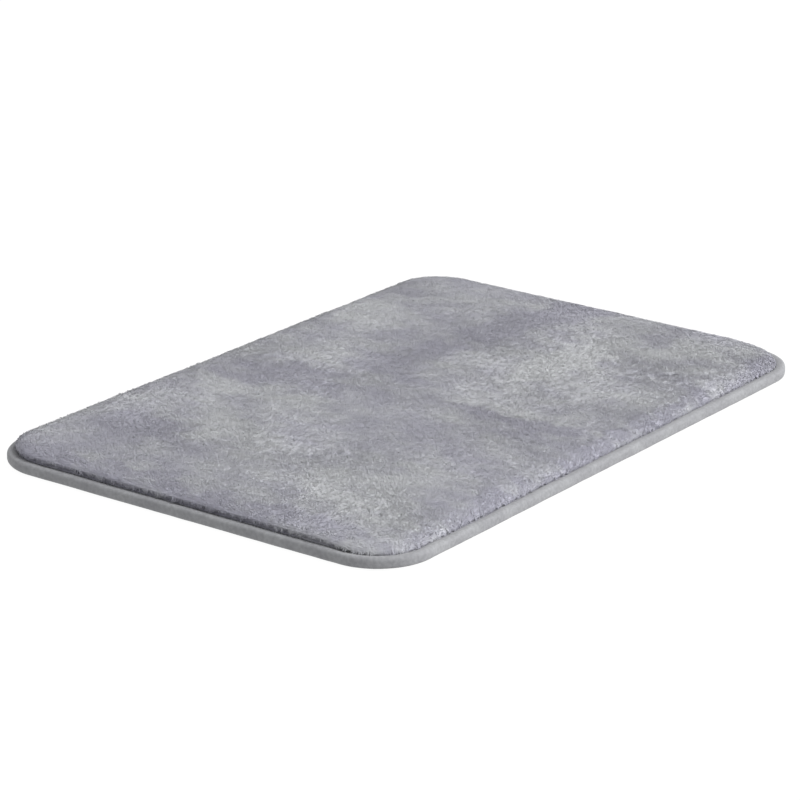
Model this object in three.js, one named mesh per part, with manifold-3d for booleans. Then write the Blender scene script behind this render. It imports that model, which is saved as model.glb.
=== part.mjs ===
// A padded bath mat: a crowned plush face over a memory-foam slab, a smooth band round the edge,
// and a woven backing that stands on non-slip dots.
//
// Units are millimetres. +X runs along the mat's length, +Y across it and +Z up, and the origin is
// at the middle of the underside, on the floor.

import * as THREE from 'three';
import { mergeVertices } from 'three/addons/utils/BufferGeometryUtils.js';
import Module from 'manifold-3d';

// Outline of the whole mat.
const MAT_LENGTH = 600;
const MAT_WIDTH = 400;
const MAT_HEIGHT = 20;
const CORNER_RADIUS = 49;
const CLEARANCE = 0.3;

// Dots and backing cloth, counted up from the floor.
const DOT_HEIGHT = 0.9;
const DOT_FIELD_INSET = 14;
const BACKING_BOTTOM = DOT_HEIGHT + CLEARANCE;
const BACKING_THICKNESS = 1.6;
const BACKING_TOP = BACKING_BOTTOM + BACKING_THICKNESS;

// The band is a channel: an upright wall with a lip turned inwards above and below the foam.
const BAND_BOTTOM = BACKING_BOTTOM;
const BAND_TOP = 10.4;
const BAND_THICKNESS = 2;
const BAND_ROUNDING = 3.4;
const UPPER_LIP_WIDTH = 8.8;
const LOWER_LIP_WIDTH = 5.6;
const LIP_THICKNESS = 1.8;
const LOWER_LIP_THICKNESS = BACKING_THICKNESS;
const CHANNEL_ROUNDING = 2.4;

// The two ends of the band meet in the middle of the back edge.
const JOIN_GAP = 1.6;
const JOIN_THREAD_DEPTH = 1;
const JOIN_THREAD_HEIGHT = 6;

// Seam threads, each a line of stitches seen as a continuous ridge.
const THREAD_WIDTH = 1.2;
const THREAD_HEIGHT = 1.1;

// The foam fills the band's channel and rises into the face's crown.
const FOAM_BOTTOM = BACKING_TOP + CLEARANCE;
const FOAM_EDGE_TOP = BAND_TOP - LIP_THICKNESS - CLEARANCE;
const FOAM_INSET = BAND_THICKNESS + CLEARANCE;

// The face panel is a shell: its rim stands in the groove and its crown rolls up from there.
const FACE_RIM = FOAM_EDGE_TOP + CLEARANCE;
const FACE_INSET = UPPER_LIP_WIDTH + THREAD_WIDTH + 2 * CLEARANCE;
const FACE_ROLL_WIDTH = 14;
const FACE_ROLL_HEIGHT = 8;
const FACE_WALL = 3.5;
const FACE_THICKNESS = 4.5;
const FACE_CAVITY_TOP = MAT_HEIGHT - FACE_THICKNESS;
const CROWN_ROLL_WIDTH = 13;
const CROWN_ROLL_HEIGHT = 4.5;

// Fineness of the curves: segments in half of a corner's arc, and across a rolled edge.
const ARC_SEGMENTS = 5;
const ROLL_SEGMENTS = 5;
const SMALL_ROLL_SEGMENTS = 4;

// How far a cutting solid runs past the piece that it cuts.
const CUT_MARGIN = 1;

const wasm = await Module();
wasm.setup();

// The mat's outline moved in by an inset, as straight sides joined by corner arcs.
function outline(inset, PathClass = THREE.Shape) {
  const radius = CORNER_RADIUS - inset;
  const x = MAT_LENGTH / 2 - inset - radius;
  const y = MAT_WIDTH / 2 - inset - radius;
  const path = new PathClass();
  const corners = [[x, y], [-x, y], [-x, -y], [x, -y]];
  corners.forEach(([cornerX, cornerY], index) => {
    const start = index * Math.PI / 2;
    path.absarc(cornerX, cornerY, radius, start, start + Math.PI / 2, false);
  });
  return path;
}

// A slab of that outline with its upper and lower edges rolled over.
function rolledSlab(inset, bottom, top, rollWidth, rollHeight, rollSegments) {
  const geometry = new THREE.ExtrudeGeometry(outline(inset), {
    depth: top - bottom - 2 * rollHeight,
    curveSegments: ARC_SEGMENTS,
    bevelEnabled: true,
    bevelThickness: rollHeight,
    bevelSize: rollWidth,
    bevelOffset: -rollWidth,
    bevelSegments: rollSegments,
  });
  return geometry.translate(0, 0, bottom + rollHeight);
}

// A square-edged slab of that outline.
function plainSlab(inset, bottom, top) {
  const geometry = new THREE.ExtrudeGeometry(outline(inset), {
    depth: top - bottom,
    curveSegments: ARC_SEGMENTS,
    bevelEnabled: false,
  });
  return geometry.translate(0, 0, bottom);
}

// A square-edged ring between two insets of the outline.
function plainRing(outerInset, width, bottom, top) {
  const shape = outline(outerInset);
  shape.holes.push(outline(outerInset + width, THREE.Path));
  const geometry = new THREE.ExtrudeGeometry(shape, {
    depth: top - bottom,
    curveSegments: ARC_SEGMENTS,
    bevelEnabled: false,
  });
  return geometry.translate(0, 0, bottom);
}

function toSolid(geometry) {
  geometry.deleteAttribute('normal');
  geometry.deleteAttribute('uv');
  const merged = mergeVertices(geometry);
  return new wasm.Manifold(new wasm.Mesh({
    numProp: 3,
    vertProperties: new Float32Array(merged.attributes.position.array),
    triVerts: new Uint32Array(merged.index.array),
  }));
}

function toGeometry(solid) {
  const { vertProperties, triVerts } = solid.getMesh();
  const geometry = new THREE.BufferGeometry();
  geometry.setAttribute('position', new THREE.BufferAttribute(vertProperties, 3));
  geometry.setIndex(new THREE.BufferAttribute(triVerts, 1));
  geometry.computeVertexNormals();
  return geometry;
}

// The plush face: a crowned shell, open underneath where the foam rises into it.
function facePanel() {
  const rolled = toSolid(rolledSlab(
    FACE_INSET, FACE_RIM - FACE_ROLL_HEIGHT, MAT_HEIGHT,
    FACE_ROLL_WIDTH, FACE_ROLL_HEIGHT, ROLL_SEGMENTS,
  ));
  const aboveRim = toSolid(plainSlab(0, FACE_RIM, MAT_HEIGHT + CUT_MARGIN));
  const cavity = toSolid(rolledSlab(
    FACE_INSET + FACE_WALL, FACE_RIM - FACE_ROLL_HEIGHT, FACE_CAVITY_TOP,
    CROWN_ROLL_WIDTH, CROWN_ROLL_HEIGHT, ROLL_SEGMENTS,
  ));
  return toGeometry(rolled.intersect(aboveRim).subtract(cavity));
}

// The foam: a slab that fills the band's channel, with a crown that fills the face's shell.
function foamCore() {
  const slab = toSolid(rolledSlab(
    FOAM_INSET, FOAM_BOTTOM, FOAM_EDGE_TOP, CHANNEL_ROUNDING, CHANNEL_ROUNDING, SMALL_ROLL_SEGMENTS,
  ));
  const crown = toSolid(rolledSlab(
    FACE_INSET + FACE_WALL + CLEARANCE, FOAM_BOTTOM + CLEARANCE, FACE_CAVITY_TOP - CLEARANCE,
    CROWN_ROLL_WIDTH, CROWN_ROLL_HEIGHT, ROLL_SEGMENTS,
  ));
  return toGeometry(slab.add(crown));
}

// The band: a strip bent into a channel round the edge, its two ends a thread's width apart.
function edgeBand() {
  const outside = toSolid(rolledSlab(
    0, BAND_BOTTOM, BAND_TOP, BAND_ROUNDING, BAND_ROUNDING, SMALL_ROLL_SEGMENTS,
  ));
  const channel = toSolid(rolledSlab(
    BAND_THICKNESS, BAND_BOTTOM + LOWER_LIP_THICKNESS, BAND_TOP - LIP_THICKNESS,
    CHANNEL_ROUNDING, CHANNEL_ROUNDING, SMALL_ROLL_SEGMENTS,
  ));
  const middle = (BAND_BOTTOM + BAND_TOP) / 2;
  const upperMouth = toSolid(plainSlab(UPPER_LIP_WIDTH, middle, BAND_TOP + CUT_MARGIN));
  const lowerMouth = toSolid(plainSlab(LOWER_LIP_WIDTH, BAND_BOTTOM - CUT_MARGIN, middle));
  const joinDepth = 2 * (UPPER_LIP_WIDTH + CUT_MARGIN);
  const joinBox = new THREE.BoxGeometry(JOIN_GAP, joinDepth, MAT_HEIGHT);
  joinBox.translate(0, MAT_WIDTH / 2, middle);
  return toGeometry(
    outside.subtract(channel).subtract(upperMouth).subtract(lowerMouth).subtract(toSolid(joinBox)),
  );
}

// The upright seam that closes the band's ends.
function bandJoinThread() {
  const geometry = new THREE.BoxGeometry(
    JOIN_GAP - 2 * CLEARANCE, JOIN_THREAD_DEPTH, JOIN_THREAD_HEIGHT,
  );
  const middle = (BAND_BOTTOM + BAND_TOP) / 2;
  return geometry.translate(0, MAT_WIDTH / 2 - BAND_THICKNESS / 2, middle);
}

function faceSeamThread() {
  return plainRing(UPPER_LIP_WIDTH + CLEARANCE, THREAD_WIDTH, FACE_RIM, FACE_RIM + THREAD_HEIGHT);
}

function backingSeamThread() {
  return plainRing(
    LOWER_LIP_WIDTH + CLEARANCE, THREAD_WIDTH, BACKING_BOTTOM, BACKING_BOTTOM + THREAD_HEIGHT,
  );
}

function backingCloth() {
  return plainSlab(LOWER_LIP_WIDTH + THREAD_WIDTH + 2 * CLEARANCE, BACKING_BOTTOM, BACKING_TOP);
}

// The field of non-slip dots, held as one level sheet of the dots' height.
function gripDots() {
  return plainSlab(DOT_FIELD_INSET, 0, DOT_HEIGHT);
}

const pieces = [
  ['grip_dots', gripDots, { color: 0x8d8f92, roughness: 0.55, metalness: 0 }],
  ['backing_cloth', backingCloth, { color: 0x77797d, roughness: 0.9, metalness: 0 }],
  ['backing_seam_thread', backingSeamThread, { color: 0x8a8c90, roughness: 0.7, metalness: 0 }],
  ['foam_core', foamCore, { color: 0xe4e0cf, roughness: 0.95, metalness: 0 }],
  ['edge_band', edgeBand, { color: 0xa6a8ab, roughness: 0.85, metalness: 0 }],
  ['band_join_thread', bandJoinThread, { color: 0x8a8c90, roughness: 0.7, metalness: 0 }],
  ['face_seam_thread', faceSeamThread, { color: 0x6d6f74, roughness: 0.7, metalness: 0 }],
  ['face_panel', facePanel, { color: 0x9d9da4, roughness: 0.95, metalness: 0 }],
];

const bathMat = new THREE.Group();
for (const [name, make, finish] of pieces) {
  const mesh = new THREE.Mesh(make(), new THREE.MeshStandardMaterial(finish));
  mesh.name = name;
  bathMat.add(mesh);
}

export default bathMat;
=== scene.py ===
import math

import bmesh
import bpy
import numpy as np
from mathutils import Matrix, Vector
from mathutils.bvhtree import BVHTree


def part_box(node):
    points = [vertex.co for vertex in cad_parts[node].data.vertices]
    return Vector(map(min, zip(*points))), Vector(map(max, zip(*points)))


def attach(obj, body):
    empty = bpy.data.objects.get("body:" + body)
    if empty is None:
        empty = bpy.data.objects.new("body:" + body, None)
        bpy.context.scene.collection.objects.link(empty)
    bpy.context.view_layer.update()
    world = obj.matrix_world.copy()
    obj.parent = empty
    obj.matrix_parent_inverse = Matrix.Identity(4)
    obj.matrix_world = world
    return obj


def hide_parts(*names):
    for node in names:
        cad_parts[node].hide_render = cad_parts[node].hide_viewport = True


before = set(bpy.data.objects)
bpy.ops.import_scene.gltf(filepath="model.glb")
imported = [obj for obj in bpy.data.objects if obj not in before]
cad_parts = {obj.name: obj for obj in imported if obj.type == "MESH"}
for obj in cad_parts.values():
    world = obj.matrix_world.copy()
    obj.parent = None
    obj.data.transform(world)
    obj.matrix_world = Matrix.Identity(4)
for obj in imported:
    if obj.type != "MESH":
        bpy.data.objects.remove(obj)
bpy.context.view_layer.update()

MM = 0.001

# Places read from the frame.
BAND_LOW, BAND_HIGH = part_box("edge_band")
FACE_LOW, FACE_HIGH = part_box("face_panel")
FACE_SEAM_LOW, FACE_SEAM_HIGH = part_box("face_seam_thread")
BACKING_LOW, BACKING_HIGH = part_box("backing_cloth")
BACKING_SEAM_LOW, BACKING_SEAM_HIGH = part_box("backing_seam_thread")
FOAM_LOW, FOAM_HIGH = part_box("foam_core")
DOTS_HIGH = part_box("grip_dots")[1]
JOIN_LOW, JOIN_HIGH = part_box("band_join_thread")

HALF_LENGTH = BAND_HIGH.x
HALF_WIDTH = BAND_HIGH.y
CORNER_RADIUS = 49 * MM
STRAIGHT_LENGTH = 4 * (HALF_LENGTH + HALF_WIDTH - 2 * CORNER_RADIUS)
OUTLINE_LENGTH = STRAIGHT_LENGTH + 2 * math.pi * CORNER_RADIUS


def inset_of(high_corner):
    """How far a node's edge lies inside the mat's outline."""
    return HALF_LENGTH - high_corner.x


# ------------ small helpers


def add_object(name, data):
    """A new object in the scene that holds that data."""
    holder = bpy.data.objects.new(name, data)
    bpy.context.scene.collection.objects.link(holder)
    return holder


def link_mesh(name, vertices, faces):
    """A new object with that mesh, shaded smooth."""
    mesh = bpy.data.meshes.new(name)
    mesh.from_pydata([tuple(v) for v in vertices], [], [tuple(f) for f in faces])
    mesh.update()
    mesh.polygons.foreach_set("use_smooth", np.ones(len(mesh.polygons), dtype=bool))
    return add_object(name, mesh)


def weld_and_face_out(piece, distance=0.01 * MM):
    """Merges the doubled points of a closed mesh and turns its faces outwards."""
    shell = bmesh.new()
    shell.from_mesh(piece.data)
    bmesh.ops.remove_doubles(shell, verts=shell.verts, dist=distance)
    bmesh.ops.recalc_face_normals(shell, faces=shell.faces)
    shell.to_mesh(piece.data)
    shell.free()
    piece.data.update()


def ripple(points, wavelength, seed, waves=16):
    """A smooth random height for each point, about -1 to 1: sine waves in seeded directions."""
    random = np.random.default_rng(seed)
    directions = random.normal(size=(waves, points.shape[1]))
    directions /= np.linalg.norm(directions, axis=1)[:, None]
    lengths = wavelength * random.uniform(0.7, 1.5, waves)
    phases = random.uniform(0, 2 * math.pi, waves)
    total = np.zeros(len(points))
    for direction, length, phase in zip(directions, lengths, phases):
        total += np.sin(points @ direction * (2 * math.pi / length) + phase)
    return total / math.sqrt(2 * waves)


def ripples(points, waves):
    """The sum of some ripples, each given as its height, wavelength and seed."""
    return sum(height * ripple(points, wavelength, seed) for height, wavelength, seed in waves)


def outline_at(distance):
    """The outline's points and outward normals at distances along it, anticlockwise from the
    middle of the back edge."""
    long_run = HALF_LENGTH - CORNER_RADIUS
    short_run = HALF_WIDTH - CORNER_RADIUS
    legs = [long_run, 0, 2 * short_run, 0, 2 * long_run, 0, 2 * short_run, 0, long_run]
    points = np.zeros((len(distance), 2))
    normals = np.zeros((len(distance), 2))
    start = np.array([0.0, HALF_WIDTH])
    heading = math.pi
    done = 0.0
    for leg in legs:
        turning = leg == 0
        length = math.pi / 2 * CORNER_RADIUS if turning else leg
        here = (distance >= done) & (distance <= done + length)
        along = distance[here] - done
        angle = heading + (along / CORNER_RADIUS if turning else 0 * along)
        outward = np.stack([np.sin(angle), -np.cos(angle)], axis=1)
        if turning:
            centre = start - CORNER_RADIUS * np.array([math.sin(heading), -math.cos(heading)])
            points[here] = centre + CORNER_RADIUS * outward
            heading += math.pi / 2
            start = centre + CORNER_RADIUS * np.array([math.sin(heading), -math.cos(heading)])
        else:
            ahead = np.array([math.cos(heading), math.sin(heading)])
            points[here] = start + along[:, None] * ahead
            start = start + length * ahead
        normals[here] = outward
        done += length
    return points, normals


def swept_vertices(distance, insets, heights):
    """The points of a section carried round the outline: one row of insets and heights for each
    distance."""
    points, normals = outline_at(distance)
    plan = points[:, None, :] - normals[:, None, :] * insets[:, :, None]
    return np.concatenate([plan, heights[:, :, None]], axis=2).reshape(-1, 3)


def swept_faces(stations, section):
    """Quads between the stations of a closed section, and a cap on each end of the sweep."""
    faces = []
    for i in range(stations - 1):
        here = i * section
        ahead = here + section
        for j in range(section):
            after = (j + 1) % section
            faces.append((here + j, here + after, ahead + after, ahead + j))
    faces.append(tuple(range(section)))
    faces.append(tuple(range((stations - 1) * section, stations * section)))
    return faces


def plan_grid(level_insets, spacing):
    """A grid of plan points that follows the mat's rounded outline, and each point's level.

    Level 0 is where the rounded corners' centres lie and the last level is the edge. A corner's
    square of the grid is bent into a quarter disc."""
    levels = len(level_insets)
    reach = CORNER_RADIUS - np.asarray(level_insets)
    reach[0] = 0.0

    def ranks(straight):
        steps = max(2, round(2 * straight / spacing))
        middle = np.linspace(-straight, straight, steps + 1)
        rank = np.concatenate([
            np.arange(levels - 1, 0, -1), np.zeros(steps + 1), np.arange(1, levels),
        ])
        place = np.concatenate([
            np.full(levels - 1, -straight), middle, np.full(levels - 1, straight),
        ])
        side = np.concatenate([np.full(levels - 1, -1.0), np.zeros(steps + 1), np.ones(levels - 1)])
        return rank.astype(int), place, side

    rank_x, place_x, side_x = ranks(HALF_LENGTH - CORNER_RADIUS)
    rank_y, place_y, side_y = ranks(HALF_WIDTH - CORNER_RADIUS)
    a, b = np.meshgrid(rank_x, rank_y, indexing="ij")
    px, py = np.meshgrid(place_x, place_y, indexing="ij")
    sx, sy = np.meshgrid(side_x, side_y, indexing="ij")
    level = np.maximum(a, b)
    shorter = np.minimum(a, b) / np.maximum(level, 1)
    angle = np.where(a >= b, math.pi / 4 * shorter, math.pi / 2 - math.pi / 4 * shorter)
    far = reach[level]
    x = px + sx * far * np.cos(angle)
    y = py + sy * far * np.sin(angle)
    return x, y, level


def grid_faces(columns, rows, first):
    """The quads of a grid whose points are numbered from first, down each column in turn."""
    i, j = np.meshgrid(np.arange(columns - 1), np.arange(rows - 1), indexing="ij")
    corner = (first + i * rows + j).ravel()
    return np.stack([corner, corner + rows, corner + rows + 1, corner + 1], axis=1)


def pillow(name, over, under, spacing, shape=None):
    """A closed piece of the mat's outline between two surfaces that meet at the edge.

    over and under list (inset, height) from the corners' centres to the edge, and shape moves the
    points of both surfaces, given each point's level."""
    over = np.asarray(over)
    under = np.asarray(under)
    vertices = []
    faces = []
    for side, levels in enumerate((over, under)):
        x, y, level = plan_grid(levels[:, 0], spacing)
        z = levels[level, 1]
        points = np.stack([x, y, z], axis=2).reshape(-1, 3)
        if shape is not None:
            points = shape(points, level.ravel())
        quads = grid_faces(*x.shape, first=side * x.size)
        faces.append(quads if side == 0 else quads[:, ::-1])
        vertices.append(points)
    return link_mesh(name, np.concatenate(vertices), np.concatenate(faces))


class Graph:
    """Adds nodes to a tree. An input is given a value, or a socket to be joined to."""

    def __init__(self, tree):
        self.tree = tree

    def add(self, kind, inputs=(), **settings):
        node = self.tree.nodes.new(kind)
        for key, value in settings.items():
            setattr(node, key, value)
        self.fill(node, dict(inputs))
        return node

    def fill(self, node, inputs):
        for key, value in inputs.items():
            self.give(node.inputs[key], value)

    def give(self, socket, value):
        """Sets an input, or joins it to another node's output."""
        if isinstance(value, bpy.types.NodeSocket):
            self.tree.links.new(value, socket)
        else:
            socket.default_value = value

    def vector(self, operation, first, second=None, scale=None):
        inputs = {0: first}
        if second is not None:
            inputs[1] = second
        if scale is not None:
            inputs["Scale"] = scale
        return self.add("ShaderNodeVectorMath", inputs, operation=operation).outputs[0]

    def number(self, operation, first, second):
        return self.add("ShaderNodeMath", {0: first, 1: second}, operation=operation).outputs[0]

    def attribute(self, name, data_type):
        """A named attribute of the mesh that the tree works on."""
        node = self.add("GeometryNodeInputNamedAttribute", {"Name": name}, data_type=data_type)
        return node.outputs["Attribute"]

    def stored(self, geometry, name, value, data_type):
        """The geometry with that value kept on its points."""
        return self.add("GeometryNodeStoreNamedAttribute", {
            "Geometry": geometry, "Name": name, "Value": value,
        }, data_type=data_type, domain="POINT").outputs[0]

    def turned(self, rotation, by):
        """A rotation with another added in its own axes."""
        return self.add("FunctionNodeRotateRotation", {
            "Rotation": rotation, "Rotate By": by,
        }, rotation_space="LOCAL").outputs[0]


def growing_tree(name, sizes):
    """A geometry tree with those named number inputs. Returns its graph and the input node."""
    tree = bpy.data.node_groups.new(name, "GeometryNodeTree")
    tree.is_modifier = True
    tree.interface.new_socket("Geometry", in_out="INPUT", socket_type="NodeSocketGeometry")
    for size in sizes:
        tree.interface.new_socket(size, in_out="INPUT", socket_type="NodeSocketFloat")
    tree.interface.new_socket("Geometry", in_out="OUTPUT", socket_type="NodeSocketGeometry")
    graph = Graph(tree)
    return graph, graph.add("NodeGroupInput").outputs


def end_tree(graph, instances, material, napped=False):
    """Makes the instances real, gives them their material and ends the tree.

    A napped mesh is shaded partly as the nap lies: its nap attribute says how it lies, and its
    nap_share attribute how much that counts."""
    real = graph.add("GeometryNodeRealizeInstances", {"Geometry": instances}).outputs[0]
    smooth = graph.add("GeometryNodeSetShadeSmooth", {"Geometry": real}).outputs[0]
    if napped:
        nap = graph.vector("NORMALIZE", graph.attribute("nap", "FLOAT_VECTOR"))
        own = graph.add("GeometryNodeInputNormal").outputs[0]
        shared = graph.add("ShaderNodeMix", {
            0: graph.attribute("nap_share", "FLOAT"), 4: own, 5: nap,
        }, data_type="VECTOR").outputs[1]
        laid = graph.add("GeometryNodeSetMeshNormal", {"Mesh": smooth}, mode="FREE", domain="POINT")
        graph.give(laid.inputs["Custom Normal"], graph.vector("NORMALIZE", shared))
        smooth = graph.add("GeometryNodeRemoveAttribute", {
            "Geometry": laid.outputs[0], "Name": "nap*",
        }, pattern_mode="WILDCARD").outputs[0]
    painted = graph.add("GeometryNodeSetMaterial", {
        "Geometry": smooth, "Material": material,
    }).outputs[0]
    graph.add("NodeGroupOutput", {0: painted})
    return graph.tree


def grow(name, base, tree, sizes):
    """The plain mesh that a tree makes on a base object, as a new piece."""
    modifier = base.modifiers.new(tree.name, "NODES")
    modifier.node_group = tree
    for item in tree.interface.items_tree:
        if item.in_out == "INPUT" and item.name in sizes:
            modifier[item.identifier] = float(sizes[item.name])
    bpy.context.view_layer.update()
    graph = bpy.context.evaluated_depsgraph_get()
    mesh = bpy.data.meshes.new_from_object(base.evaluated_get(graph), depsgraph=graph)
    mesh.name = name
    base.modifiers.remove(modifier)
    return add_object(name, mesh)


# A wave texture repeats this many times over a unit at a scale of 1.
WAVE_SCALE = 20


def material_graph(name):
    """A new material: the material, its graph, its shader node and the object's coordinates."""
    material = bpy.data.materials.new(name)
    material.use_nodes = True
    graph = Graph(material.node_tree)
    shader = material.node_tree.nodes["Principled BSDF"]
    place = graph.add("ShaderNodeTexCoord").outputs["Object"]
    return material, graph, shader, place


def noise(graph, place, wavelength, detail=2.0, stretch=(1, 1, 1)):
    """Noise of about that wavelength, from 0 to 1."""
    moved = graph.add("ShaderNodeMapping", {"Vector": place, "Scale": stretch}).outputs[0]
    texture = graph.add("ShaderNodeTexNoise", {
        "Vector": moved, "Scale": 1 / wavelength, "Detail": detail,
    })
    return texture.outputs["Fac"]


def bands(graph, place, wavelength, inputs, **settings):
    """Straight waves of that wavelength, from 0 to 1."""
    return graph.add("ShaderNodeTexWave", {
        "Vector": place, "Scale": 1 / wavelength / WAVE_SCALE, **inputs,
    }, wave_type="BANDS", **settings).outputs["Fac"]


def spread(graph, value, low, high, to_low=0.0, to_high=1.0):
    """The value's range from low to high, stretched smoothly to another range."""
    return graph.add("ShaderNodeMapRange", {
        "Value": value, "From Min": low, "From Max": high, "To Min": to_low, "To Max": to_high,
    }, interpolation_type="SMOOTHSTEP").outputs[0]


def mix_colours(graph, factor, first, second):
    """A colour between two, which are given values or sockets."""
    node = graph.add("ShaderNodeMix", {0: factor, 6: first, 7: second}, data_type="RGBA")
    return node.outputs[2]


def bump(graph, shader, height, depth, strength):
    """Shades the surface as if that height were carved into it."""
    raised = graph.add("ShaderNodeBump", {
        "Height": height, "Distance": depth, "Strength": strength,
    }).outputs[0]
    graph.give(shader.inputs["Normal"], raised)


# ------------ finishes


# Painted nap shading: strokes painted into the plush colour as the light and dark patches the brushed
# pile shows where it catches or misses the light, with painted shade along the left rim and the front
# roll. Each gives its middle, half length and half width in millimetres, heading in degrees, and how far
# it turns the shade, lighter or darker.
PAINTED_NAP_SHADING = [
    ((-25, 115), 65, 30, 95, -0.40),
    ((60, 65), 60, 28, -10, -0.30),
    ((150, 42), 60, 26, -8, -0.42),
    ((250, 20), 62, 30, -15, -0.42),
    ((-75, 110), 68, 18, 92, 0.32),
    ((-210, -105), 52, 42, 80, 0.42),
    ((-130, -112), 34, 28, 60, 0.25),
    ((-160, 60), 40, 32, 100, 0.30),
    ((145, -55), 62, 28, -5, 0.45),
    ((235, -122), 58, 34, -62, 0.35),
    ((150, 150), 50, 34, 10, 0.30),
    ((0, -110), 85, 14, 91, -0.40),
    ((-195, 125), 36, 32, 70, -0.34),
    ((-265, 150), 36, 50, 90, -0.22),
    ((240, -88), 24, 18, 40, -0.34),
    # Painted shade along the left short side's rolled rim, which faces away from the key light.
    ((-284, 0), 210, 14, 90, -0.42),
    ((-250, -165), 60, 26, 10, 0.25),
    # Painted shade along the front roll, toning down where it faces the key light.
    ((20, -188), 310, 11, 0, -0.34),
]
STROKE_FRAY = 34 * MM
FRAY_WAVELENGTH = 30 * MM


def painted_nap_shading(graph, place):
    """The sum of the painted shading strokes at a place, each fading out to a ragged edge."""
    fray = graph.add("ShaderNodeTexNoise", {
        "Vector": place, "Scale": 1 / FRAY_WAVELENGTH, "Detail": 3.0,
    })
    pushed = graph.vector("SUBTRACT", fray.outputs["Color"], (0.5, 0.5, 0.5))
    ragged = graph.vector("ADD", place, graph.vector("SCALE", pushed, scale=2 * STROKE_FRAY))
    total = 0.0
    for (x, y), long_half, wide_half, heading, amount in PAINTED_NAP_SHADING:
        own = graph.add("ShaderNodeMapping", {
            "Vector": ragged, "Location": (x * MM, y * MM, 0), "Rotation": (0, 0, math.radians(heading)),
            "Scale": (long_half * MM, wide_half * MM, 1.0),
        }, vector_type="TEXTURE").outputs[0]
        away = graph.vector("LENGTH", graph.vector("MULTIPLY", own, (1.0, 1.0, 0.0))).node
        share = spread(graph, away.outputs["Value"], 0.35, 1.35, amount, 0.0)
        total = graph.number("ADD", share, total)
    return total


def plush_finish():
    """Brushed coral fleece: grey, with painted nap shading: darker violet grey where the nap is painted
    as turned from the light, lighter grey where it is painted as catching it.
    """
    material, graph, shader, place = material_graph("plush_pile")
    wide = noise(graph, place, 75 * MM, stretch=(1.0, 0.55, 1.0))
    patch = noise(graph, place, 22 * MM, stretch=(1.0, 0.6, 1.0))
    grain = noise(graph, place, 3.2 * MM)
    wide_part = graph.number("MULTIPLY", wide, 0.9)
    patch_part = graph.number("MULTIPLY", patch, 1.1)
    clouds = graph.number("ADD", wide_part, patch_part)
    # Random clouds plus the painted nap shading strokes; the mix below turns them into darker violet
    # painted shade and lighter painted light.
    brushed = graph.number("ADD", clouds, painted_nap_shading(graph, place))
    shade = spread(graph, brushed, 0.55, 1.52)
    colour = mix_colours(graph, shade, (0.420, 0.417, 0.486, 1), (0.585, 0.596, 0.614, 1))
    speck = spread(graph, grain, 0.3, 0.7, 0.95, 1.05)
    flecked = graph.vector("SCALE", colour, scale=speck)
    graph.fill(shader, {
        "Base Color": flecked, "Roughness": 0.92, "Specular IOR Level": 0.15,
        "Sheen Weight": 0.25, "Sheen Roughness": 0.55,
    })
    bump(graph, shader, grain, 0.5 * MM, 0.5)
    return material


def band_finish():
    """Short-napped suede cloth."""
    material, graph, shader, place = material_graph("band_suede")
    cloud = noise(graph, place, 22 * MM, detail=3.0)
    nap = noise(graph, place, 2.6 * MM, detail=3.0)
    shade = spread(graph, cloud, 0.35, 0.65)
    colour = mix_colours(graph, shade, (0.268, 0.270, 0.285, 1), (0.308, 0.312, 0.325, 1))
    flecked = graph.vector("SCALE", colour, scale=spread(graph, nap, 0.3, 0.7, 0.9, 1.1))
    graph.fill(shader, {
        "Base Color": flecked, "Roughness": spread(graph, cloud, 0.3, 0.7, 0.82, 0.95),
        "Specular IOR Level": 0.2, "Sheen Weight": 0.2, "Sheen Roughness": 0.5,
    })
    bump(graph, shader, nap, 0.4 * MM, 0.6)
    return material


def thread_finish():
    """Twisted polyester thread: fine slanting plies."""
    material, graph, shader, place = material_graph("seam_thread")
    plies = bands(graph, place, 0.9 * MM, {
        "Distortion": 0.6, "Detail": 1.0,
    }, bands_direction="DIAGONAL")
    tint = noise(graph, place, 6 * MM)
    colour = mix_colours(graph, tint, (0.27, 0.272, 0.292, 1), (0.33, 0.332, 0.352, 1))
    graph.fill(shader, {"Base Color": colour, "Roughness": 0.6})
    bump(graph, shader, plies, 0.12 * MM, 0.6)
    return material


def weave_finish():
    """Plain-woven base cloth, its warp along the mat and its weft across."""
    material, graph, shader, place = material_graph("backing_weave")
    warp, weft = [bands(graph, place, 1.3 * MM, {
        "Distortion": 0.25, "Detail": 1.0, "Detail Scale": 2.0,
    }, bands_direction=axis) for axis in ("X", "Y")]
    weave = graph.number("MULTIPLY", warp, weft)
    fade = noise(graph, place, 30 * MM, detail=3.0)
    low = mix_colours(graph, fade, (0.095, 0.098, 0.106, 1), (0.13, 0.133, 0.142, 1))
    high = mix_colours(graph, fade, (0.17, 0.174, 0.185, 1), (0.21, 0.214, 0.226, 1))
    graph.fill(shader, {"Base Color": mix_colours(graph, weave, low, high), "Roughness": 0.88})
    bump(graph, shader, weave, 0.35 * MM, 0.8)
    return material


def dot_finish():
    """Soft vinyl, printed hot and a little uneven."""
    material, graph, shader, place = material_graph("grip_dot")
    cloud = noise(graph, place, 40 * MM)
    pits = noise(graph, place, 0.9 * MM)
    colour = mix_colours(graph, cloud, (0.235, 0.24, 0.25, 1), (0.29, 0.295, 0.305, 1))
    roughness = spread(graph, pits, 0.3, 0.7, 0.38, 0.55)
    graph.fill(shader, {"Base Color": colour, "Roughness": roughness})
    bump(graph, shader, pits, 0.08 * MM, 0.4)
    return material


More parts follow.
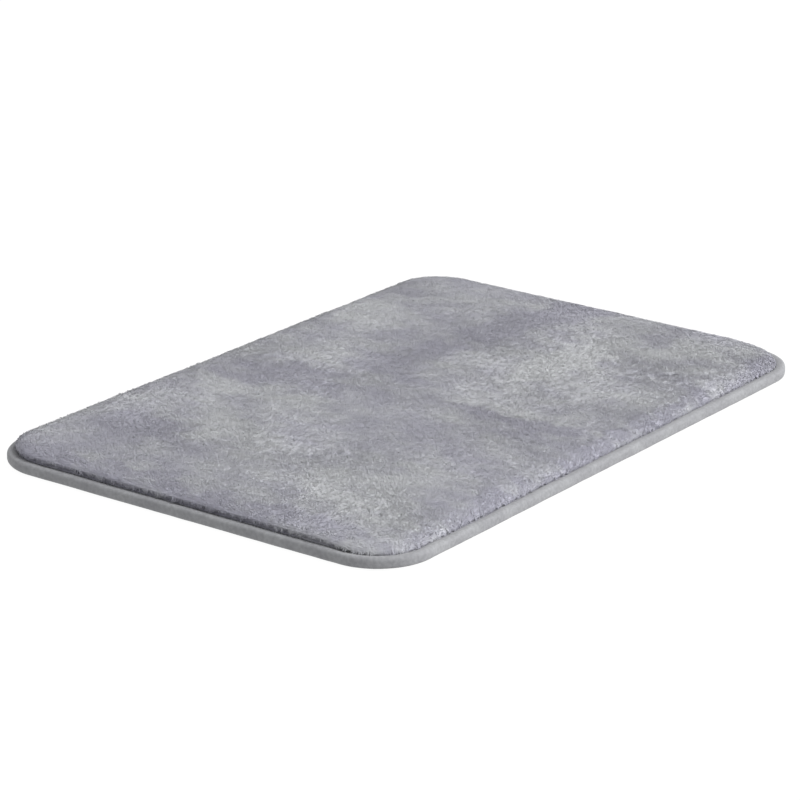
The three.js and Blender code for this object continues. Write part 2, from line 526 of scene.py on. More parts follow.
def foam_finish():
    """Slow-recovery foam with fine open cells."""
    material, graph, shader, place = material_graph("memory_foam")
    cells = graph.add("ShaderNodeTexVoronoi", {
        "Vector": place, "Scale": 1 / (1.2 * MM),
    }).outputs["Distance"]
    cloud = noise(graph, place, 60 * MM)
    colour = mix_colours(graph, cloud, (0.78, 0.74, 0.62, 1), (0.85, 0.82, 0.72, 1))
    graph.fill(shader, {"Base Color": colour, "Roughness": 0.95})
    bump(graph, shader, cells, 0.3 * MM, 0.7)
    return material


def paper_finish():
    """Plain white paper that gives off light of its own, so that hardly any shadow shows on it."""
    material, graph, shader, place = material_graph("studio_paper")
    grain = noise(graph, place, 4 * MM)
    colour = mix_colours(graph, grain, (0.07, 0.07, 0.07, 1), (0.09, 0.09, 0.09, 1))
    graph.fill(shader, {
        "Base Color": colour, "Roughness": 0.9, "Specular IOR Level": 0.0,
        "Emission Color": (1, 1, 1, 1), "Emission Strength": 0.96,
    })
    return material


# ------------ camera, floor and light

VIEW_AZIMUTH = math.radians(-53.98)
VIEW_ELEVATION = math.radians(19.27)
VIEW_ROLL = math.radians(0.52)
VIEW_DISTANCE = 2.76
VIEW_RIGHT = -9.3 * MM
VIEW_UP = 12.5 * MM
LENS_MM = 151.26
SENSOR_MM = 36.0
NEAR_LIMIT = 0.1
FAR_LIMIT = 50.0


def direction(azimuth, elevation):
    """The unit vector towards a place round the mat: azimuth 0 is in front, along -Y."""
    level = math.cos(elevation)
    return Vector((math.sin(azimuth) * level, -math.cos(azimuth) * level, math.sin(elevation)))


def make_camera():
    back = direction(VIEW_AZIMUTH, VIEW_ELEVATION)
    right = Vector((math.cos(VIEW_AZIMUTH), math.sin(VIEW_AZIMUTH), 0))
    up = back.cross(right)
    turned_right = math.cos(VIEW_ROLL) * right + math.sin(VIEW_ROLL) * up
    turned_up = math.cos(VIEW_ROLL) * up - math.sin(VIEW_ROLL) * right
    lens = bpy.data.cameras.new("camera")
    lens.lens = LENS_MM
    lens.sensor_width = SENSOR_MM
    lens.clip_start = NEAR_LIMIT
    lens.clip_end = FAR_LIMIT
    camera = add_object("camera", lens)
    axes = Matrix((turned_right, turned_up, back)).transposed().to_4x4()
    place = VIEW_DISTANCE * back + VIEW_RIGHT * turned_right + VIEW_UP * turned_up
    camera.matrix_world = Matrix.Translation(place) @ axes
    bpy.context.scene.camera = camera


FLOOR_SIZE = 16.0


def make_floor():
    half = FLOOR_SIZE / 2
    corners = [(-half, -half, 0), (half, -half, 0), (half, half, 0), (-half, half, 0)]
    floor = link_mesh("floor", corners, [(0, 1, 2, 3)])
    floor.data.materials.append(paper_finish())
    floor.visible_diffuse = False


KEY_AZIMUTH = math.radians(28)
KEY_ELEVATION = math.radians(36)
KEY_SOFTNESS = math.radians(60)
KEY_STRENGTH = 3.46
FILL_STRENGTH = 0.62


def make_light():
    """A broad key light from the front, and an even white surround."""
    lamp = bpy.data.lights.new("key_light", "SUN")
    lamp.energy = KEY_STRENGTH
    lamp.angle = KEY_SOFTNESS
    light = add_object("key_light", lamp)
    towards = direction(KEY_AZIMUTH, KEY_ELEVATION)
    light.matrix_world = towards.to_track_quat("Z", "Y").to_matrix().to_4x4()
    world = bpy.data.worlds.new("studio")
    world.use_nodes = True
    Graph(world.node_tree).fill(world.node_tree.nodes["Background"], {
        "Color": (1, 1, 1, 1), "Strength": FILL_STRENGTH,
    })
    bpy.context.scene.world = world
    bpy.context.scene.view_settings.view_transform = "Standard"


# ------------ the plush face

PILE_LENGTH = 2.7 * MM
PILE_SPACING = 1.0 * MM
PILE_WIDTH = 0.7 * MM
PILE_STRIPS = 12
SKIN_TOP = FACE_HIGH.z - 2.1 * MM
CROWN_RISE = 0.7 * MM
ROLL_INSET = inset_of(FACE_HIGH) - 3.0 * MM
ROLL_WIDTH = 14 * MM
ROLL_MIDDLE = FACE_LOW.z + 6.0 * MM
ROLL_UNDERCUT = 0.6
NECK_INSET = inset_of(FACE_HIGH) + 1.6 * MM
NECK_HEIGHT = FACE_LOW.z + 0.7 * MM
PILE_FOOT = ROLL_MIDDLE - 1.4 * MM
HEM_EDGE = inset_of(FACE_SEAM_HIGH) - 0.1 * MM
HEM_TOP = FACE_LOW.z + 0.15 * MM
HEM_THICKNESS = 0.6 * MM
SKIN_THICKNESS = 2.4 * MM
CROWN_STEPS = 8
ROLL_STEPS = 10
TUCK_STEPS = 5
FACE_GRID = 4 * MM
FACE_WAVES = [(0.35 * MM, 120 * MM, 3), (0.16 * MM, 34 * MM, 4)]

# Along the front the roll is tucked in and sags towards the band. The shares say how much of that
# each level of the section takes, from the crown down to the hem, with the levels between them.
FRONT_START = 0.62 * HALF_WIDTH
FRONT_END = 0.93 * HALF_WIDTH
FRONT_TUCK = 2.2 * MM
FRONT_SAG = 5.0 * MM
FRONT_PILE = 6.5 * MM
ROLL_HANG = [(0, 0.0), (8, 0.0), (17, 0.9), (19, 1.0), (21, 0.5), (23, 0.0), (25, 0.0)]


def face_levels():
    """The plush cloth's outer section: crown, roll, the tuck back to the neck, and the sewn hem."""
    levels = []
    for step in range(CROWN_STEPS):
        share = step / CROWN_STEPS
        inset = CORNER_RADIUS + share * (ROLL_INSET + ROLL_WIDTH - CORNER_RADIUS)
        levels.append((inset, SKIN_TOP + CROWN_RISE * math.cos(share * math.pi / 2)))
    for step in range(ROLL_STEPS + 1):
        angle = math.radians(90 - 90 / ROLL_STEPS * step)
        inset = ROLL_INSET + ROLL_WIDTH * (1 - math.cos(angle))
        levels.append((inset, ROLL_MIDDLE + (SKIN_TOP - ROLL_MIDDLE) * math.sin(angle)))
    for step in range(1, TUCK_STEPS + 1):
        angle = math.radians(90 / TUCK_STEPS * step)
        rise = math.sin(angle)
        run = 1 - math.cos(angle)
        inwards = ROLL_UNDERCUT * rise + (1 - ROLL_UNDERCUT) * run
        downwards = ROLL_UNDERCUT * run + (1 - ROLL_UNDERCUT) * rise
        inset = ROLL_INSET + (NECK_INSET - ROLL_INSET) * inwards
        levels.append((inset, ROLL_MIDDLE - (ROLL_MIDDLE - NECK_HEIGHT) * downwards))
    levels.append((NECK_INSET - 0.5 * MM, HEM_TOP))
    levels.append((HEM_EDGE, HEM_TOP - HEM_THICKNESS / 2))
    return levels


def lining_levels(levels):
    """The inner surface of that cloth, meeting the outer one at the hem's edge."""
    outer = np.array(levels[:-2])
    along = np.gradient(outer, axis=0)
    along /= np.linalg.norm(along, axis=1)[:, None]
    inner = outer + SKIN_THICKNESS * np.stack([-along[:, 1], along[:, 0]], axis=1)
    inner[0, 0] = CORNER_RADIUS
    hem = (NECK_INSET, HEM_TOP - HEM_THICKNESS)
    return [tuple(place) for place in inner] + [hem, levels[-1]]


# The filling: which levels of the section the coarse pad takes, its grid, how it is held and
# pressed, and how much of what comes of it the fine cloth follows.
PRESS_LEVELS = 15
PRESS_SPACING = 10 * MM
PRESS_DEPTH = 8 * MM
PRESS_FRAMES = 20
PRESS_HELD = 0.5
PRESS_MARGIN = 0.2 * MM
PRESS_UNEVENNESS = 0.2 * MM
PRESS_LIMIT = 1.6 * MM
PRESS_SHARE = 0.6
PRESS_CLOTH = {
    "quality": 5, "mass": 0.3, "tension_stiffness": 15, "compression_stiffness": 15,
    "shear_stiffness": 5, "bending_stiffness": 0.5, "use_pressure": True,
    "uniform_pressure_force": 4, "pin_stiffness": 5, "shrink_min": -0.01, "shrink_max": -0.01,
}
READING_HEIGHT = 50 * MM


def height_reader(piece):
    """Reads how high a mesh's upper surface stands over a place in plan."""
    vertices = [vertex.co.copy() for vertex in piece.vertices]
    tree = BVHTree.FromPolygons(vertices, [tuple(face.vertices) for face in piece.polygons])
    above = FACE_HIGH.z + READING_HEIGHT

    def read(x, y):
        hit = tree.ray_cast(Vector((x, y, above)), Vector((0, 0, -1)))[0]
        return hit.z if hit else None

    return read


def settle(levels):
    """Fills a coarse pad of the face under pressure, its rim and underside held.

    Returns the readers of its upper surface before and after."""
    over = levels[:PRESS_LEVELS:2]
    foot = levels[PRESS_LEVELS - 1][1] - PRESS_DEPTH
    under = [(inset, foot) for inset, _ in over[:-1]] + [over[-1]]
    pad = pillow("press_pad", over, under, PRESS_SPACING)
    weld_and_face_out(pad)
    rim = over[-1][1] + PRESS_MARGIN
    held = pad.vertex_groups.new(name="held")
    random = np.random.default_rng(8)
    for vertex in pad.data.vertices:
        top = vertex.co.z > rim
        held.add([vertex.index], PRESS_HELD if top else 1.0, "REPLACE")
        vertex.co.z += PRESS_UNEVENNESS * random.normal() if top else 0.0
    before = height_reader(pad.data)
    filling = pad.modifiers.new("filling", "CLOTH")
    for setting, value in PRESS_CLOTH.items():
        setattr(filling.settings, setting, value)
    filling.settings.effector_weights.gravity = 0
    filling.settings.vertex_group_mass = held.name
    filling.point_cache.frame_start = 1
    filling.point_cache.frame_end = PRESS_FRAMES
    for step in range(1, PRESS_FRAMES + 1):
        bpy.context.scene.frame_set(step)
    graph = bpy.context.evaluated_depsgraph_get()
    settled = bpy.data.meshes.new_from_object(pad.evaluated_get(graph), depsgraph=graph)
    after = height_reader(settled)
    bpy.data.objects.remove(pad)
    bpy.data.meshes.remove(settled)
    bpy.context.scene.frame_set(1)
    return before, after


def filling_rise(levels):
    """Gives how far the filling moves the face up or down at each of the points it is asked for."""
    before, after = settle(levels)

    def rise_at(points):
        rise = np.zeros(len(points))
        for index, (x, y) in enumerate(points[:, :2]):
            low, high = before(x, y), after(x, y)
            if low is not None and high is not None:
                rise[index] = high - low
        return PRESS_SHARE * np.clip(rise, -PRESS_LIMIT, PRESS_LIMIT)

    return rise_at


def front_share(y):
    """How much a place belongs to the front edge, 0 to 1."""
    share = np.clip((-y - FRONT_START) / (FRONT_END - FRONT_START), 0, 1)
    return share ** 2 * (3 - 2 * share)


def make_face(finish):
    """The plush cover, with its outer side above the pile's foot marked for the tufts."""
    levels = face_levels()
    heights = np.array(levels)[:, 1]
    rise_at = filling_rise(levels)
    hung = np.interp(np.arange(len(levels)), *zip(*ROLL_HANG))

    def shape(points, level):
        free = np.clip((heights[level] - ROLL_MIDDLE) / (SKIN_TOP - ROLL_MIDDLE), 0, 1)
        points[:, 2] += (ripples(points[:, :2], FACE_WAVES) + rise_at(points)) * free
        share = front_share(points[:, 1]) * hung[level]
        points[:, 1] += FRONT_TUCK * share
        points[:, 2] -= FRONT_SAG * share
        return points

    face = pillow("plush_face", levels, lining_levels(levels), FACE_GRID, shape)
    count = len(face.data.polygons)
    centres = np.zeros(count * 3)
    face.data.polygons.foreach_get("center", centres)
    centres = centres.reshape(-1, 3)
    outer = np.arange(count) < count // 2
    standing = centres[:, 2] > PILE_FOOT - FRONT_PILE * front_share(centres[:, 1])
    pile = face.data.attributes.new("pile", "BOOLEAN", "FACE")
    pile.data.foreach_set("value", outer & standing)
    weld_and_face_out(face)
    face.data.materials.append(finish)
    return face


# What every strip of the pile is given. Lean and Clump bend the tufts over in wide and in small
# patches, Droop bends those on the roll down and Ragged makes them uneven there. The three for the
# nap say how far the shading leans, how much it counts and how that fades on the roll.
PILE_SIZES = {
    "Spacing": PILE_SPACING, "Length": PILE_LENGTH, "Width": PILE_WIDTH, "Lean": 0.5, "Clump": 0.3,
    "Nap": 0.12, "Nap Share": 0.94, "Nap Fade": 0.34, "Droop": 0.4, "Ragged": 2.6, "Seed": 5,
}
PILE_DENSITY = 2.4e6
NAP_STROKED = (-0.2, -0.5, 0.0)
LEAN_WAVELENGTH = 60 * MM
CLUMP_WAVELENGTH = 7 * MM
RAGGED_WAVELENGTH = 3.6 * MM


def pile_tree(finish):
    """Bent tufts on the faces marked as pile, brushed in slowly changing directions."""
    graph, given = growing_tree("pile_tufts", [*PILE_SIZES, "Strip Start", "Strip End"])
    scattered = graph.add("GeometryNodeDistributePointsOnFaces", {
        "Mesh": given["Geometry"], "Selection": graph.attribute("pile", "BOOLEAN"),
        "Distance Min": given["Spacing"], "Density Max": PILE_DENSITY, "Density Factor": 1.0,
        "Seed": given["Seed"],
    }, distribute_method="POISSON")
    outwards = scattered.outputs["Normal"]
    place = graph.add("GeometryNodeInputPosition").outputs[0]
    along = graph.add("ShaderNodeSeparateXYZ", {0: place}).outputs["X"]
    before = graph.add("FunctionNodeCompare", {
        0: along, 1: given["Strip Start"],
    }, operation="LESS_THAN").outputs[0]
    beyond = graph.add("FunctionNodeCompare", {
        0: along, 1: given["Strip End"],
    }, operation="GREATER_EQUAL").outputs[0]
    outside = graph.add("FunctionNodeBooleanMath", {0: before, 1: beyond}, operation="OR").outputs[0]
    points = graph.add("GeometryNodeDeleteGeometry", {
        "Geometry": scattered.outputs["Points"], "Selection": outside,
    }, domain="POINT").outputs[0]

    def swirl(wavelength, stretch):
        """A level direction that turns from place to place."""
        flat = graph.vector("MULTIPLY", place, stretch)
        texture = graph.add("ShaderNodeTexNoise", {
            "Vector": flat, "Scale": 1 / wavelength, "Detail": 0.0,
        })
        centred = graph.vector("SUBTRACT", texture.outputs["Color"], (0.5, 0.5, 0.5))
        return graph.vector("MULTIPLY", centred, (2.0, 2.0, 0.0))

    brushed = graph.vector("SCALE", swirl(LEAN_WAVELENGTH, (1.0, 0.6, 1.0)), scale=given["Lean"])
    clumped = graph.vector("SCALE", swirl(CLUMP_WAVELENGTH, (1.0, 1.0, 1.0)), scale=given["Clump"])
    stroke = graph.vector("ADD", graph.vector("ADD", brushed, clumped), NAP_STROKED)
    patchy = graph.add("ShaderNodeTexNoise", {
        "Vector": place, "Scale": 1 / RAGGED_WAVELENGTH, "Detail": 0.0,
    }).outputs["Fac"]
    rising = graph.vector("DOT_PRODUCT", outwards, (0.0, 0.0, 1.0)).node.outputs["Value"]
    sideways = graph.number("SUBTRACT", 1.0, rising)
    drooping = graph.number("MULTIPLY", sideways, given["Droop"])
    droop = graph.vector("SCALE", (0.0, 0.0, -1.0), scale=drooping)
    held_back = graph.number("SUBTRACT", 1.0, graph.number("MULTIPLY", sideways, 0.75))
    push = graph.vector("ADD", graph.vector("SCALE", stroke, scale=held_back), droop)
    through = graph.vector("PROJECT", push, outwards)
    lean = graph.vector("SUBTRACT", push, through)
    facing = graph.add("FunctionNodeAlignRotationToVector", {"Vector": lean}, axis="X").outputs[0]
    axis = graph.vector("ADD", outwards, lean)
    upright = graph.add(
        "FunctionNodeAlignRotationToVector", {"Rotation": facing, "Vector": axis}, axis="Z",
    ).outputs[0]
    wobble = graph.add("FunctionNodeRandomValue", {
        0: (-0.15, -0.15, -0.6), 1: (0.15, 0.15, 0.6), "Seed": 11,
    }, data_type="FLOAT_VECTOR").outputs[0]
    turn = graph.add("FunctionNodeEulerToRotation", {0: wobble}).outputs[0]
    rotation = graph.turned(upright, turn)
    each = graph.add("FunctionNodeRandomValue", {
        2: 0.9, 3: 1.1, "Seed": 12,
    }, data_type="FLOAT").outputs[1]
    uneven = graph.number("MULTIPLY", graph.number("ADD", sideways, 0.06), given["Ragged"])
    longer = graph.number("MULTIPLY", graph.number("SUBTRACT", patchy, 0.5), uneven)
    growth = graph.number("ADD", each, longer)

    cone = graph.add("GeometryNodeMeshCone", {
        "Vertices": 3, "Side Segments": 2, "Fill Segments": 1, "Radius Top": 0.0,
        "Radius Bottom": given["Width"], "Depth": given["Length"],
    }, fill_type="NGON").outputs["Mesh"]
    height = graph.add("ShaderNodeSeparateXYZ", {0: place}).outputs["Z"]
    bend = graph.number("DIVIDE", graph.number("MULTIPLY", height, height), given["Length"])
    offset = graph.add("ShaderNodeCombineXYZ", {
        "X": graph.number("MULTIPLY", bend, 0.6), "Z": graph.number("MULTIPLY", bend, -0.35),
    }).outputs[0]
    tuft = graph.add("GeometryNodeSetPosition", {"Geometry": cone, "Offset": offset}).outputs[0]
    nap = graph.vector("ADD", outwards, graph.vector("SCALE", lean, scale=given["Nap"]))
    lying = graph.stored(points, "nap", nap, "FLOAT_VECTOR")
    faded = graph.number("MULTIPLY", sideways, given["Nap Fade"])
    kept = graph.number("MAXIMUM", graph.number("SUBTRACT", 1.0, faded), 0.0)
    share = graph.number("MULTIPLY", kept, given["Nap Share"])
    roots = graph.stored(lying, "nap_share", share, "FLOAT")
    instances = graph.add("GeometryNodeInstanceOnPoints", {
        "Points": roots, "Instance": tuft, "Rotation": rotation, "Scale": growth,
    }).outputs[0]
    return end_tree(graph, instances, finish, napped=True)


# How much wider the tufts' map is than the mat.
MAP_MARGIN = 1.05


def lay_flat_map(piece):
    """Gives every corner its place in plan as its map, so that tufts share their spot's colour."""
    mesh = piece.data
    points = np.zeros(len(mesh.vertices) * 3, np.float32)
    mesh.vertices.foreach_get("co", points)
    corners = np.zeros(len(mesh.loops), np.int32)
    mesh.loops.foreach_get("vertex_index", corners)
    plan = points.reshape(-1, 3)[corners, :2]
    plan = plan / (2 * HALF_LENGTH * MAP_MARGIN) + 0.5
    layer = mesh.uv_layers.new(name="OFBake")
    layer.data.foreach_set("uv", plan.astype(np.float32).ravel())


def make_pile(face, finish):
    """The tufts, in strips across the mat that keep each piece small."""
    tree = pile_tree(finish)
    edges = np.linspace(-HALF_LENGTH, HALF_LENGTH, PILE_STRIPS + 1)
    strips = []
    for number in range(PILE_STRIPS):
        strip = grow(f"plush_pile_{number + 1}", face, tree, {
            **PILE_SIZES, "Strip Start": edges[number], "Strip End": edges[number + 1],
        })
        lay_flat_map(strip)
        strips.append(strip)
    return strips


# ------------ the edge band

BAND_CLOTH = 1.4 * MM
BAND_STATION = 2.4 * MM
BAND_WAVES = [(0.22 * MM, 60 * MM, 21), (0.12 * MM, 16 * MM, 22)]
BAND_EASE = 0.25 * MM
JOIN_HALF_GAP = 0.15 * MM
JOIN_TUCK = 1.3 * MM
JOIN_TUCK_REACH = 2.2 * MM
SIDE_ROUNDING = 3.3 * MM
FOOT_REACH = 5.2 * MM
LIP_REACH = inset_of(FACE_SEAM_HIGH) - 0.3 * MM
LIP_FALL = 1.7 * MM
SIDE_SQUARENESS = 2.2


def band_section(shrink):
    """One face of the band's section, from its foot round the outside to its lip's edge."""
    low = BAND_LOW.z + shrink
    high = BAND_HIGH.z - shrink
    rounding = SIDE_ROUNDING
    angles = np.linspace(0, math.pi / 2, 9)
    power = 2 / SIDE_SQUARENESS
    across = rounding - (rounding - shrink) * np.cos(angles) ** power
    upright = (rounding - shrink) * np.sin(angles) ** power
    foot = np.linspace(FOOT_REACH, rounding, 4)[:-1]
    lip = np.linspace(rounding, LIP_REACH, 8)[1:]
    lip_share = (lip - rounding) / (LIP_REACH - rounding)
    inset = np.concatenate([foot, across[::-1], across, lip])
    height = np.concatenate([
        np.full(len(foot), low), (low + rounding - shrink - upright)[::-1],
        high - rounding + shrink + upright, high - LIP_FALL * lip_share ** 2,
    ])
    return inset, height


def make_band(finish):
    """The band as one closed strip, its two ends tucked in where they meet."""
    outer = band_section(0.0)
    inner = band_section(BAND_CLOTH)
    inset = np.concatenate([outer[0], inner[0][::-1]])
    height = np.concatenate([outer[1], inner[1][::-1]])
    stations = round(OUTLINE_LENGTH / BAND_STATION)
    distance = np.linspace(JOIN_HALF_GAP, OUTLINE_LENGTH - JOIN_HALF_GAP, stations)
    insets = np.tile(inset, (stations, 1))
    heights = np.tile(height, (stations, 1))
    flat = swept_vertices(distance, insets, heights)
    swell = ripples(flat, BAND_WAVES).reshape(stations, -1)
    from_join = np.minimum(distance, OUTLINE_LENGTH - distance)
    tuck = JOIN_TUCK * np.exp(-(from_join / JOIN_TUCK_REACH) ** 2)
    insets += np.maximum(swell + BAND_EASE, 0.0) + tuck[:, None]
    heights += 0.5 * swell * np.clip((heights - BAND_LOW.z) / (BAND_HIGH.z - BAND_LOW.z), 0, 1)
    vertices = swept_vertices(distance, insets, heights)
    faces = swept_faces(stations, len(inset))
    band = link_mesh("edge_band_cloth", vertices, faces)
    weld_and_face_out(band)
    band.data.materials.append(finish)
    return band


# ------------ stitches

STITCH_PITCH = 3.6 * MM
STITCH_WIDTH = 0.85 * MM
STITCH_SLANT = 0.09
STITCH_INSET = 0.6 * MM
FACE_STITCH_LIFT = 0.4 * MM
BACKING_STITCH_LIFT = 0.5 * MM
JOIN_STITCH_PITCH = 1.6 * MM
JOIN_STITCH_DEPTH = 1.45 * MM
JOIN_PATH_POINTS = 12
ROUND_PATH_POINTS = 900


def stitch_tree(finish):
    """Stitches laid end to end along an edge path."""
    graph, given = growing_tree("seam_stitches", ["Pitch", "Stitch Length", "Stitch Width", "Slant"])
    path = graph.add("GeometryNodeMeshToCurve", {"Mesh": given["Geometry"]}).outputs[0]
    marks = graph.add("GeometryNodeResampleCurve", {
        "Curve": path, "Length": given["Pitch"],
    }, mode="LENGTH").outputs[0]
    tangent = graph.add("GeometryNodeInputTangent").outputs[0]
    along = graph.add("FunctionNodeAlignRotationToVector", {"Vector": tangent}, axis="X").outputs[0]
    slant = graph.add("ShaderNodeCombineXYZ", {"Z": given["Slant"]}).outputs[0]
    turn = graph.add("FunctionNodeEulerToRotation", {0: slant}).outputs[0]
    rotation = graph.turned(along, turn)
    bead = graph.add("GeometryNodeMeshUVSphere", {
        "Segments": 6, "Rings": 5, "Radius": 0.5,
    }).outputs["Mesh"]
    size = graph.add("ShaderNodeCombineXYZ", {
        "X": given["Stitch Length"], "Y": given["Stitch Width"], "Z": given["Stitch Width"],
    }).outputs[0]
    instances = graph.add("GeometryNodeInstanceOnPoints", {
        "Points": marks, "Instance": bead, "Rotation": rotation, "Scale": size,
    }).outputs[0]
    return end_tree(graph, instances, finish)


def edge_path(name, points, closed):
    """An object of edges only, for stitches to follow."""
    count = len(points)
    edges = [(i, i + 1) for i in range(count - 1)]
    if closed:
        edges.append((count - 1, 0))
    mesh = bpy.data.meshes.new(name)
    mesh.from_pydata([tuple(p) for p in points], edges, [])
    return add_object(name, mesh)


def stitch_line(name, tree, points, closed, pitch=STITCH_PITCH):
    """One seam: stitches along a path, a little apart."""
    path = edge_path(name + "_path", points, closed)
    seam = grow(name, path, tree, {
        "Pitch": pitch, "Stitch Length": 0.9 * pitch, "Stitch Width": STITCH_WIDTH,
        "Slant": STITCH_SLANT,
    })
    bpy.data.objects.remove(path)
    return seam


def round_path(inset, height):
    """Points round the mat at one inset and height."""
    distance = np.linspace(0, OUTLINE_LENGTH, ROUND_PATH_POINTS, endpoint=False)
    points, normals = outline_at(distance)
    plan = points - normals * inset
    return np.concatenate([plan, np.full((len(plan), 1), height)], axis=1)


def make_seams(finish):
    tree = stitch_tree(finish)
    face_path = round_path(
        inset_of(FACE_SEAM_HIGH) + STITCH_INSET, FACE_SEAM_LOW.z + FACE_STITCH_LIFT,
    )
    face_seam = stitch_line("face_seam_stitches", tree, face_path, closed=True)
    backing_path = round_path(
        inset_of(BACKING_SEAM_HIGH) + STITCH_INSET, BACKING_SEAM_LOW.z + BACKING_STITCH_LIFT,
    )
    backing_seam = stitch_line("backing_seam_stitches", tree, backing_path, closed=True)
    upright = np.zeros((JOIN_PATH_POINTS, 3))
    upright[:, 1] = HALF_WIDTH - JOIN_STITCH_DEPTH
    upright[:, 2] = np.linspace(JOIN_LOW.z, JOIN_HIGH.z, JOIN_PATH_POINTS)
    join_seam = stitch_line(
        "band_join_stitches", tree, upright, closed=False, pitch=JOIN_STITCH_PITCH,
    )
    return face_seam, backing_seam, join_seam


# ------------ base cloth, dots and foam


BACKING_THICKNESS = 1.0 * MM
BACKING_ROUNDING = 0.5 * MM
BACKING_GRID = 6 * MM
BACKING_WAVES = [(0.08 * MM, 45 * MM, 31)]
SLAB_FLAT_STEPS = 4


def slab_levels(edge_inset, edge_height, middle_height, rounding, steps):
    """A flat surface from the corners' centres out, rolled over to its edge."""
    levels = []
    for step in range(SLAB_FLAT_STEPS):
        share = step / SLAB_FLAT_STEPS
        inset = CORNER_RADIUS + share * (edge_inset + rounding - CORNER_RADIUS)
        levels.append((inset, middle_height))
    for step in range(steps + 1):
        angle = math.radians(90 * (1 - step / steps))
        levels.append((
            edge_inset + rounding * (1 - math.cos(angle)),
            edge_height + (middle_height - edge_height) * math.sin(angle),
        ))
    return levels


def make_backing(finish):
    """The base cloth, with slight waves that die out near its sewn edge."""
    edge = inset_of(BACKING_HIGH)
    top = BACKING_LOW.z + BACKING_THICKNESS
    middle = (top + BACKING_LOW.z) / 2
    over = slab_levels(edge, middle, top, BACKING_ROUNDING, 3)
    under = slab_levels(edge, middle, BACKING_LOW.z, BACKING_ROUNDING, 3)

    def shape(points, level):
        free = np.clip((9 - level) / 4, 0, 1)
        points[:, 2] += ripples(points[:, :2], BACKING_WAVES) * free
        return points

    backing = pillow("backing_cloth_woven", over, under, BACKING_GRID, shape)
    weld_and_face_out(backing)
    backing.data.materials.append(finish)
    return backing


DOT_PITCH = 8 * MM
DOT_RADIUS = 1.5 * MM
DOT_SINK = 0.12 * MM


def dot_tree(finish):
    """A dot hanging from each point, each turned and sized a little differently."""
    graph, given = growing_tree("grip_dots", ["Dot Radius", "Dot Height"])
    dot = graph.add("GeometryNodeMeshCone", {
        "Vertices": 8, "Side Segments": 2, "Fill Segments": 1, "Depth": given["Dot Height"],
        "Radius Bottom": given["Dot Radius"],
        "Radius Top": graph.number("MULTIPLY", given["Dot Radius"], 0.55),
    }, fill_type="NGON").outputs["Mesh"]
    place = graph.add("GeometryNodeInputPosition").outputs[0]
    down = graph.vector("MULTIPLY", place, (1.0, -1.0, -1.0))
    hanging = graph.add("GeometryNodeSetPosition", {"Geometry": dot, "Position": down}).outputs[0]
    turn = graph.add("FunctionNodeRandomValue", {
        0: (0, 0, 0), 1: (0, 0, 6.28), "Seed": 3,
    }, data_type="FLOAT_VECTOR").outputs[0]
    size = graph.add("FunctionNodeRandomValue", {
        0: (0.92, 0.92, 1.0), 1: (1.08, 1.08, 1.0), "Seed": 4,
    }, data_type="FLOAT_VECTOR").outputs[0]
    instances = graph.add("GeometryNodeInstanceOnPoints", {
        "Points": given["Geometry"], "Instance": hanging, "Rotation": turn, "Scale": size,
    }).outputs[0]
    return end_tree(graph, instances, finish)


def make_dots(finish):
    """Staggered rows of dots that fill the dot field's rounded outline."""
    half_x = DOTS_HIGH.x - DOT_RADIUS
    half_y = DOTS_HIGH.y - DOT_RADIUS
    radius = CORNER_RADIUS - inset_of(DOTS_HIGH)
    row_gap = DOT_PITCH * math.sqrt(3) / 2
    places = []
    rows = math.floor(half_y / row_gap)
    columns = math.floor(half_x / DOT_PITCH)
    for row in range(-rows, rows + 1):
        for column in range(-columns, columns + 1):
            x = (column + (0.5 if row % 2 else 0.0)) * DOT_PITCH
            y = row * row_gap
            past_x = max(abs(x) - (half_x - radius), 0)
            past_y = max(abs(y) - (half_y - radius), 0)
            if math.hypot(past_x, past_y) <= radius and abs(x) <= half_x:
                places.append((x, y, BACKING_LOW.z + DOT_SINK))
    base = link_mesh("dot_places", places, [])
    dots = grow("grip_dot_field", base, dot_tree(finish), {
        "Dot Radius": DOT_RADIUS, "Dot Height": BACKING_LOW.z + DOT_SINK,
    })
    bpy.data.objects.remove(base)
    return dots


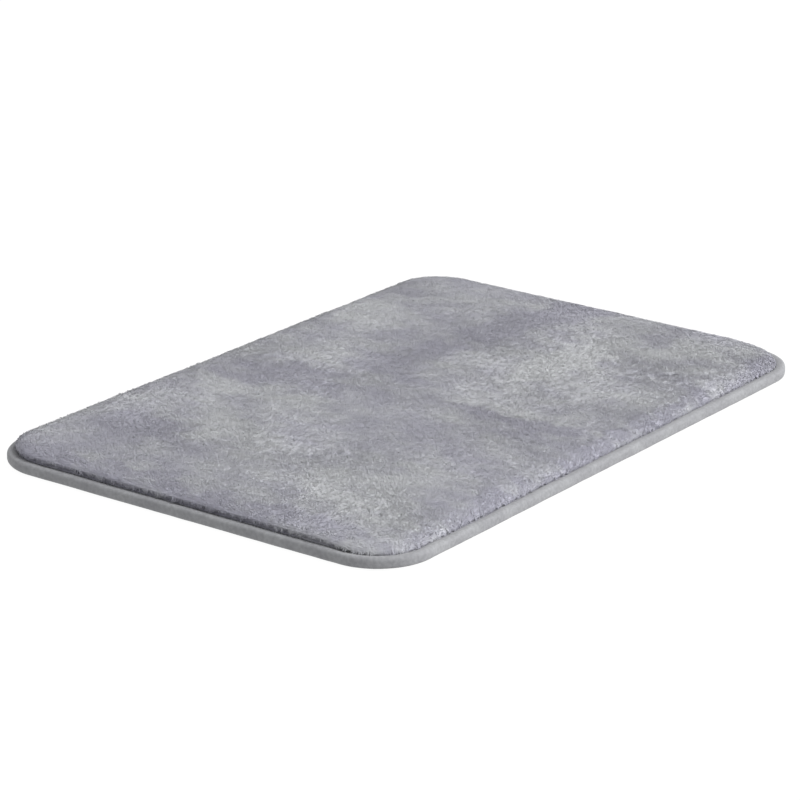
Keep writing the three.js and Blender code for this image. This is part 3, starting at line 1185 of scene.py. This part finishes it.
# Room left between the foam and the cover, and how the foam's edges are rounded.
FOAM_EDGE_ROOM = 0.3 * MM
FOAM_MIDDLE_DROP = 0.5 * MM
FOAM_LIP_ROOM = 1.9 * MM
FOAM_NECK_ROOM = 3.0 * MM
FOAM_CROWN_ROOM = 1.2 * MM
FOAM_CROWN_ROLL = 20 * MM
FOAM_ROUNDING = 2.5 * MM
FOAM_GRID = 8 * MM


def make_foam(finish):
    """The foam: a slab in the band's channel with a crown that fills the face."""
    edge = inset_of(FOAM_HIGH) + FOAM_EDGE_ROOM
    middle = (FOAM_LOW.z + FACE_LOW.z) / 2 - FOAM_MIDDLE_DROP
    slab_top = FACE_LOW.z - FOAM_LIP_ROOM
    crown_top = FOAM_HIGH.z - FOAM_CROWN_ROOM
    over = slab_levels(NECK_INSET + FOAM_NECK_ROOM, slab_top, crown_top, FOAM_CROWN_ROLL, 9)
    over += slab_levels(edge, middle, slab_top, FOAM_ROUNDING, 4)[SLAB_FLAT_STEPS:]
    under_steps = len(over) - SLAB_FLAT_STEPS - 1
    under = slab_levels(edge, middle, FOAM_LOW.z, FOAM_ROUNDING, under_steps)
    foam = pillow("memory_foam_block", over, under, FOAM_GRID)
    weld_and_face_out(foam)
    foam.data.materials.append(finish)
    return foam


# ------------ assembly


def put(piece, slot, *nodes):
    """The piece moves with the mat and stands for those nodes; slot is not used."""
    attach(piece, "root")
    if nodes:
        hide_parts(*nodes)


make_camera()
make_floor()
make_light()

plush = plush_finish()
thread = thread_finish()

face = make_face(plush)
put(face, "plush_pile", "face_panel")
for strip in make_pile(face, plush):
    put(strip, "plush_pile")
face.data.attributes.remove(face.data.attributes["pile"])

band = make_band(band_finish())
put(band, "band_suede", "edge_band")

face_seam, backing_seam, join_seam = make_seams(thread)
put(face_seam, "seam_thread", "face_seam_thread")
put(backing_seam, "seam_thread", "backing_seam_thread")
put(join_seam, "seam_thread", "band_join_thread")

backing = make_backing(weave_finish())
put(backing, "backing_weave", "backing_cloth")

dots = make_dots(dot_finish())
put(dots, "grip_dot", "grip_dots")

foam = make_foam(foam_finish())
put(foam, "memory_foam", "foam_core")
